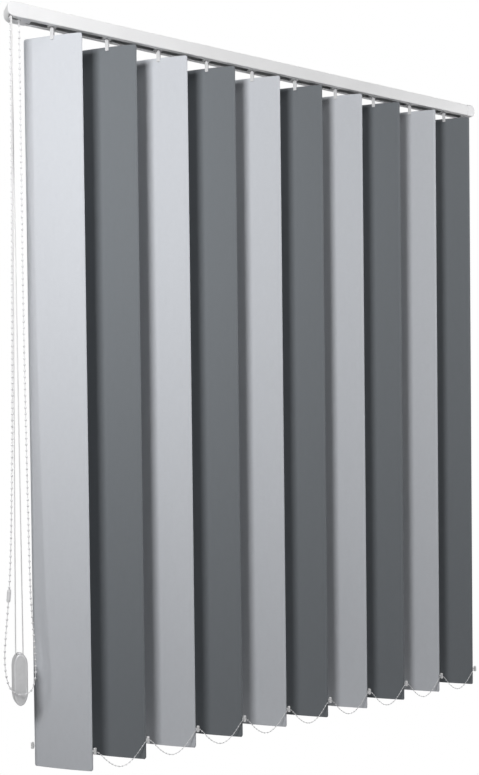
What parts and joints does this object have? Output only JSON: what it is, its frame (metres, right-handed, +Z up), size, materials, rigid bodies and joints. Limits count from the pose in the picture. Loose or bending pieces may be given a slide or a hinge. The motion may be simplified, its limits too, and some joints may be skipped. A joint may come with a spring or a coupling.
{
  "type": "vertical blind",
  "caption": "Vertical blind: alternating light and dark grey fabric vanes hang from a white headrail, tilted by a bead chain and drawn by a cord with a weight.",
  "frame": {"origin": "middle of the ceiling clips' seating plane, over the middle of the rail", "axes": "+X along the rail away from the control end, +Y towards the window, +Z up"},
  "size_m": [1.2477, 0.1004, 1.5223],
  "materials": {
    "rail_white": "powder-coated white aluminium",
    "clip_steel": "bright spring steel",
    "cap_white": "smooth white moulding",
    "gear_white": "natural acetal",
    "rod_metal": "mill finish",
    "axle_steel": "ground pin",
    "vane_light": "stiffened light grey cloth, matt",
    "vane_dark": "stiffened dark grey cloth, matt",
    "ballast_white": "white-coated steel plate",
    "chain_white": "white beads on cord",
    "cord_white": "braided cord",
    "weight_grey": "grey coated casting"
  },
  "bodies": {
    "frame": {"headrail": "rail_white", "mounting_clips": "clip_steel", "control_end_cap": "cap_white", "idle_end_cap": "cap_white", "control_axle": "axle_steel", "return_axle": "axle_steel", "draw_cord": "cord_white", "bead_chain": "chain_white", "chain_connector": "cap_white", "cord_weight_front": "weight_grey", "cord_weight_rear": "weight_grey", "carrier_01": "gear_white"},
    "carrier_10_body": {"carrier_10": "gear_white"},
    "carrier_02_body": {"carrier_02": "gear_white"},
    "carrier_03_body": {"carrier_03": "gear_white"},
    "carrier_04_body": {"carrier_04": "gear_white"},
    "carrier_05_body": {"carrier_05": "gear_white"},
    "carrier_06_body": {"carrier_06": "gear_white"},
    "carrier_07_body": {"carrier_07": "gear_white"},
    "carrier_08_body": {"carrier_08": "gear_white"},
    "carrier_09_body": {"carrier_09": "gear_white"},
    "vane_01_body": {"hook_01": "gear_white", "vane_01": "vane_light", "bottom_weight_01": "ballast_white"},
    "vane_02_body": {"hook_02": "gear_white", "vane_02": "vane_dark", "bottom_weight_02": "ballast_white"},
    "vane_03_body": {"hook_03": "gear_white", "vane_03": "vane_light", "bottom_weight_03": "ballast_white"},
    "vane_04_body": {"hook_04": "gear_white", "vane_04": "vane_dark", "bottom_weight_04": "ballast_white"},
    "vane_05_body": {"hook_05": "gear_white", "vane_05": "vane_light", "bottom_weight_05": "ballast_white"},
    "vane_06_body": {"hook_06": "gear_white", "vane_06": "vane_dark", "bottom_weight_06": "ballast_white"},
    "vane_07_body": {"hook_07": "gear_white", "vane_07": "vane_light", "bottom_weight_07": "ballast_white"},
    "vane_08_body": {"hook_08": "gear_white", "vane_08": "vane_dark", "bottom_weight_08": "ballast_white"},
    "vane_09_body": {"hook_09": "gear_white", "vane_09": "vane_light", "bottom_weight_09": "ballast_white"},
    "vane_10_body": {"hook_10": "gear_white", "vane_10": "vane_dark", "bottom_weight_10": "ballast_white"},
    "tilt_drive": {"tilt_rod": "rod_metal", "rod_bevel_wheel": "gear_white"},
    "sprocket": {"chain_sprocket": "gear_white"},
    "front_chain_body": {"front_chain": "chain_white"},
    "rear_chain_body": {"rear_chain": "chain_white"},
    "front_cord_wheel_body": {"front_cord_wheel": "gear_white"},
    "rear_cord_wheel_body": {"rear_cord_wheel": "gear_white"},
    "return_wheel_body": {"return_wheel": "gear_white"},
    "cord_weight_wheel_body": {"cord_weight_wheel": "gear_white"}
  },
  "joints": [
    {"name": "traverse", "type": "slide", "parent": "frame", "child": "carrier_10_body", "axis": [-1, 0, 0], "range_m": [0, 0.846], "deforming": ["front_chain", "rear_chain"]},
    {"name": "carrier_02_slide", "type": "slide", "parent": "frame", "child": "carrier_02_body", "axis": [-1, 0, 0], "range_m": [0, 0.094]},
    {"name": "carrier_03_slide", "type": "slide", "parent": "frame", "child": "carrier_03_body", "axis": [-1, 0, 0], "range_m": [0, 0.188]},
    {"name": "carrier_04_slide", "type": "slide", "parent": "frame", "child": "carrier_04_body", "axis": [-1, 0, 0], "range_m": [0, 0.282]},
    {"name": "carrier_05_slide", "type": "slide", "parent": "frame", "child": "carrier_05_body", "axis": [-1, 0, 0], "range_m": [0, 0.376]},
    {"name": "carrier_06_slide", "type": "slide", "parent": "frame", "child": "carrier_06_body", "axis": [-1, 0, 0], "range_m": [0, 0.47]},
    {"name": "carrier_07_slide", "type": "slide", "parent": "frame", "child": "carrier_07_body", "axis": [-1, 0, 0], "range_m": [0, 0.564]},
    {"name": "carrier_08_slide", "type": "slide", "parent": "frame", "child": "carrier_08_body", "axis": [-1, 0, 0], "range_m": [0, 0.658]},
    {"name": "carrier_09_slide", "type": "slide", "parent": "frame", "child": "carrier_09_body", "axis": [-1, 0, 0], "range_m": [0, 0.752]},
    {"name": "tilt", "type": "hinge", "parent": "frame", "child": "vane_01_body", "pos_m": [-0.5175, 0, -0.0457], "axis": [0, 0, 1], "range_deg": [-122, 28]},
    {"name": "vane_02_tilt", "type": "hinge", "parent": "carrier_02_body", "child": "vane_02_body", "pos_m": [-0.4025, 0, -0.0457], "axis": [0, 0, 1], "range_deg": [-122, 28]},
    {"name": "vane_03_tilt", "type": "hinge", "parent": "carrier_03_body", "child": "vane_03_body", "pos_m": [-0.2875, 0, -0.0457], "axis": [0, 0, 1], "range_deg": [-122, 28]},
    {"name": "vane_04_tilt", "type": "hinge", "parent": "carrier_04_body", "child": "vane_04_body", "pos_m": [-0.1725, 0, -0.0457], "axis": [0, 0, 1], "range_deg": [-122, 28]},
    {"name": "vane_05_tilt", "type": "hinge", "parent": "carrier_05_body", "child": "vane_05_body", "pos_m": [-0.0575, 0, -0.0457], "axis": [0, 0, 1], "range_deg": [-122, 28]},
    {"name": "vane_06_tilt", "type": "hinge", "parent": "carrier_06_body", "child": "vane_06_body", "pos_m": [0.0575, 0, -0.0457], "axis": [0, 0, 1], "range_deg": [-122, 28]},
    {"name": "vane_07_tilt", "type": "hinge", "parent": "carrier_07_body", "child": "vane_07_body", "pos_m": [0.1725, 0, -0.0457], "axis": [0, 0, 1], "range_deg": [-122, 28]},
    {"name": "vane_08_tilt", "type": "hinge", "parent": "carrier_08_body", "child": "vane_08_body", "pos_m": [0.2875, 0, -0.0457], "axis": [0, 0, 1], "range_deg": [-122, 28]},
    {"name": "vane_09_tilt", "type": "hinge", "parent": "carrier_09_body", "child": "vane_09_body", "pos_m": [0.4025, 0, -0.0457], "axis": [0, 0, 1], "range_deg": [-122, 28]},
    {"name": "vane_10_tilt", "type": "hinge", "parent": "carrier_10_body", "child": "vane_10_body", "pos_m": [0.5175, 0, -0.0457], "axis": [0, 0, 1], "range_deg": [-122, 28]},
    {"name": "rod_turn", "type": "hinge", "parent": "frame", "child": "tilt_drive", "pos_m": [-0.59296, 0.0088, -0.018], "axis": [1, 0, 0], "range_deg": [-488, 112]},
    {"name": "sprocket_turn", "type": "hinge", "parent": "frame", "child": "sprocket", "pos_m": [-0.59296, -0.004, -0.018], "axis": [0, 1, 0], "range_deg": [-488, 112]},
    {"name": "front_chain_swing", "type": "hinge", "parent": "vane_01_body", "child": "front_chain_body", "pos_m": [-0.46546, -0.0453, -1.4782], "axis": [0, 0, 1], "range_deg": [-28, 122]},
    {"name": "rear_chain_swing", "type": "hinge", "parent": "vane_01_body", "child": "rear_chain_body", "pos_m": [-0.56632, 0.04876, -1.4782], "axis": [0, 0, 1], "range_deg": [-28, 122]},
    {"name": "front_wheel_turn", "type": "hinge", "parent": "frame", "child": "front_cord_wheel_body", "pos_m": [-0.59296, -0.0132, -0.018], "axis": [0, 1, 0], "range_deg": [-6059.04, 0]},
    {"name": "rear_wheel_turn", "type": "hinge", "parent": "frame", "child": "rear_cord_wheel_body", "pos_m": [-0.59296, -0.0097, -0.018], "axis": [0, 1, 0], "range_deg": [0, 6059.04]},
    {"name": "return_wheel_turn", "type": "hinge", "parent": "frame", "child": "return_wheel_body", "pos_m": [0.59855, -0.00805, -0.01], "axis": [0, 0, 1], "range_deg": [-9412.09, 0]},
    {"name": "weight_wheel_turn", "type": "hinge", "parent": "frame", "child": "cord_weight_wheel_body", "pos_m": [-0.60496, -0.01145, -1.284], "axis": [0, 1, 0], "range_deg": [-6779.34, 0]}
  ],
  "couplings": [
    {"joint": "carrier_02_slide", "follows": "traverse", "ratio": 0.11111},
    {"joint": "carrier_03_slide", "follows": "traverse", "ratio": 0.22222},
    {"joint": "carrier_04_slide", "follows": "traverse", "ratio": 0.33333},
    {"joint": "carrier_05_slide", "follows": "traverse", "ratio": 0.44444},
    {"joint": "carrier_06_slide", "follows": "traverse", "ratio": 0.55556},
    {"joint": "carrier_07_slide", "follows": "traverse", "ratio": 0.66667},
    {"joint": "carrier_08_slide", "follows": "traverse", "ratio": 0.77778},
    {"joint": "carrier_09_slide", "follows": "traverse", "ratio": 0.88889},
    {"joint": "vane_02_tilt", "follows": "tilt", "ratio": 1},
    {"joint": "vane_03_tilt", "follows": "tilt", "ratio": 1},
    {"joint": "vane_04_tilt", "follows": "tilt", "ratio": 1},
    {"joint": "vane_05_tilt", "follows": "tilt", "ratio": 1},
    {"joint": "vane_06_tilt", "follows": "tilt", "ratio": 1},
    {"joint": "vane_07_tilt", "follows": "tilt", "ratio": 1},
    {"joint": "vane_08_tilt", "follows": "tilt", "ratio": 1},
    {"joint": "vane_09_tilt", "follows": "tilt", "ratio": 1},
    {"joint": "vane_10_tilt", "follows": "tilt", "ratio": 1},
    {"joint": "rod_turn", "follows": "tilt", "ratio": 4},
    {"joint": "sprocket_turn", "follows": "tilt", "ratio": 4},
    {"joint": "front_chain_swing", "follows": "tilt", "ratio": -1},
    {"joint": "rear_chain_swing", "follows": "tilt", "ratio": -1},
    {"joint": "front_wheel_turn", "follows": "traverse", "rad_per_m": -125},
    {"joint": "rear_wheel_turn", "follows": "traverse", "rad_per_m": 125},
    {"joint": "return_wheel_turn", "follows": "traverse", "rad_per_m": -194.17},
    {"joint": "weight_wheel_turn", "follows": "traverse", "rad_per_m": -139.86}
  ]
}
